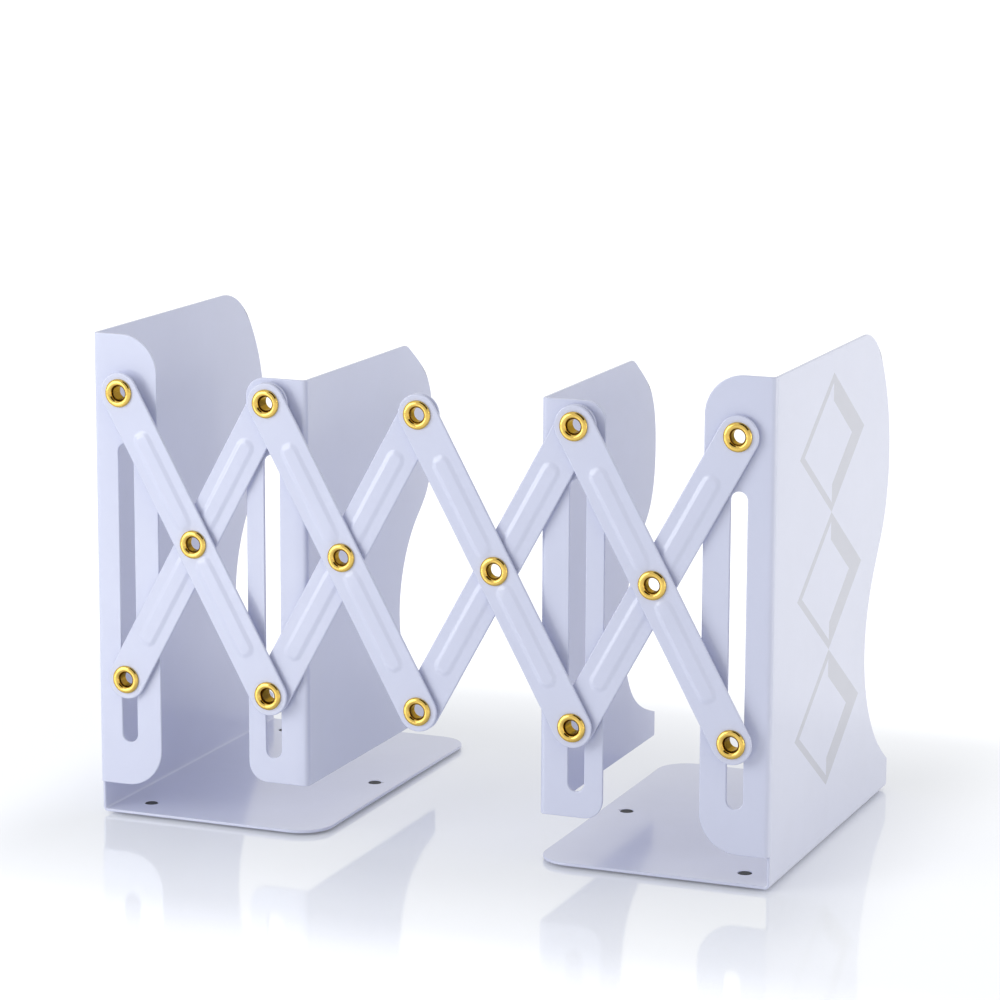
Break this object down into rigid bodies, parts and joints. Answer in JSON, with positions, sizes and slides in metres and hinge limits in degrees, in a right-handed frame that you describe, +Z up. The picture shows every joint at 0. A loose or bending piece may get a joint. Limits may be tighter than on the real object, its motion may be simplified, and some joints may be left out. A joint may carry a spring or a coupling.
{
  "type": "extending bookend",
  "caption": "Extending bookend: folded steel end plates and dividers joined along the front by a lazy-tongs linkage of pressed links on rolled eyelets.",
  "frame": {"origin": "on the surface it stands on, under the middle of the whole object at the modelled opening", "axes": "+X to the right along the extension, seen from the linkage side; +Y into the depth, away from the linkage; +Z up"},
  "size_m": [0.274, 0.1612, 0.1911],
  "materials": {
    "white_coat": "gloss powder coat",
    "brass": "polished",
    "nylon": "plain",
    "rubber": "matt"
  },
  "bodies": {
    "left_end": {"left_end": "white_coat", "left_end_feet": "rubber"},
    "front_link_1": {"front_link_1": "white_coat", "top_eyelet_1": "brass", "top_spacer_1": "nylon", "middle_eyelet_1": "brass", "middle_link_washer_1": "nylon", "bottom_eyelet_2": "brass", "bottom_link_washer_2": "nylon", "bottom_plate_washer_2": "nylon", "bottom_slot_washer_2": "nylon"},
    "rear_link_1": {"rear_link_1": "white_coat", "bottom_eyelet_1": "brass", "bottom_plate_washer_1": "nylon", "bottom_slot_washer_1": "nylon"},
    "front_link_2": {"front_link_2": "white_coat", "top_eyelet_2": "brass", "top_link_washer_2": "nylon", "top_plate_washer_2": "nylon", "middle_eyelet_2": "brass", "middle_link_washer_2": "nylon", "bottom_eyelet_3": "brass", "bottom_link_washer_3": "nylon"},
    "rear_link_2": {"rear_link_2": "white_coat"},
    "front_link_3": {"front_link_3": "white_coat", "top_eyelet_3": "brass", "top_link_washer_3": "nylon", "middle_eyelet_3": "brass", "middle_link_washer_3": "nylon", "bottom_eyelet_4": "brass", "bottom_link_washer_4": "nylon", "bottom_plate_washer_4": "nylon", "bottom_slot_washer_4": "nylon"},
    "rear_link_3": {"rear_link_3": "white_coat"},
    "front_link_4": {"front_link_4": "white_coat", "top_eyelet_4": "brass", "top_link_washer_4": "nylon", "top_plate_washer_4": "nylon", "middle_eyelet_4": "brass", "middle_link_washer_4": "nylon", "bottom_eyelet_5": "brass", "bottom_spacer_5": "nylon", "bottom_slot_washer_5": "nylon"},
    "rear_link_4": {"rear_link_4": "white_coat", "top_eyelet_5": "brass", "top_plate_washer_5": "nylon"},
    "left_divider": {"left_divider": "white_coat"},
    "right_divider": {"right_divider": "white_coat"},
    "right_end": {"right_end": "white_coat", "right_end_feet": "rubber"}
  },
  "joints": [
    {"name": "spread", "type": "hinge", "parent": "left_end", "child": "front_link_1", "pos_m": [-0.1236, -0.0764, 0.16907], "axis": [0, -1, 0], "range_deg": [-10.11, 50.67]},
    {"name": "cross_1", "type": "hinge", "parent": "front_link_1", "child": "rear_link_1", "pos_m": [-0.0927, -0.0764, 0.11274], "axis": [0, -1, 0], "range_deg": [-101.34, 20.22]},
    {"name": "top_2", "type": "hinge", "parent": "rear_link_1", "child": "front_link_2", "pos_m": [-0.0618, -0.0764, 0.16907], "axis": [0, -1, 0], "range_deg": [-20.22, 101.34]},
    {"name": "cross_2", "type": "hinge", "parent": "front_link_2", "child": "rear_link_2", "pos_m": [-0.0309, -0.0764, 0.11274], "axis": [0, -1, 0], "range_deg": [-101.34, 20.22]},
    {"name": "top_3", "type": "hinge", "parent": "rear_link_2", "child": "front_link_3", "pos_m": [0, -0.0764, 0.16907], "axis": [0, -1, 0], "range_deg": [-20.22, 101.34]},
    {"name": "cross_3", "type": "hinge", "parent": "front_link_3", "child": "rear_link_3", "pos_m": [0.0309, -0.0764, 0.11274], "axis": [0, -1, 0], "range_deg": [-101.34, 20.22]},
    {"name": "top_4", "type": "hinge", "parent": "rear_link_3", "child": "front_link_4", "pos_m": [0.0618, -0.0764, 0.16907], "axis": [0, -1, 0], "range_deg": [-20.22, 101.34]},
    {"name": "cross_4", "type": "hinge", "parent": "front_link_4", "child": "rear_link_4", "pos_m": [0.0927, -0.0764, 0.11274], "axis": [0, -1, 0], "range_deg": [-101.34, 20.22]},
    {"name": "left_divider_hang", "type": "hinge", "parent": "rear_link_1", "child": "left_divider", "pos_m": [-0.0618, -0.0764, 0.16907], "axis": [0, -1, 0], "range_deg": [-10.11, 50.67]},
    {"name": "right_divider_hang", "type": "hinge", "parent": "rear_link_3", "child": "right_divider", "pos_m": [0.0618, -0.0764, 0.16907], "axis": [0, -1, 0], "range_deg": [-10.11, 50.67]},
    {"name": "right_end_hang", "type": "hinge", "parent": "rear_link_4", "child": "right_end", "pos_m": [0.1236, -0.0764, 0.16907], "axis": [0, -1, 0], "range_deg": [-10.11, 50.67]}
  ],
  "couplings": [
    {"joint": "cross_1", "follows": "spread", "ratio": -2},
    {"joint": "top_2", "follows": "spread", "ratio": 2},
    {"joint": "cross_2", "follows": "spread", "ratio": -2},
    {"joint": "top_3", "follows": "spread", "ratio": 2},
    {"joint": "cross_3", "follows": "spread", "ratio": -2},
    {"joint": "top_4", "follows": "spread", "ratio": 2},
    {"joint": "cross_4", "follows": "spread", "ratio": -2},
    {"joint": "left_divider_hang", "follows": "spread", "ratio": 1},
    {"joint": "right_divider_hang", "follows": "spread", "ratio": 1},
    {"joint": "right_end_hang", "follows": "spread", "ratio": 1}
  ]
}
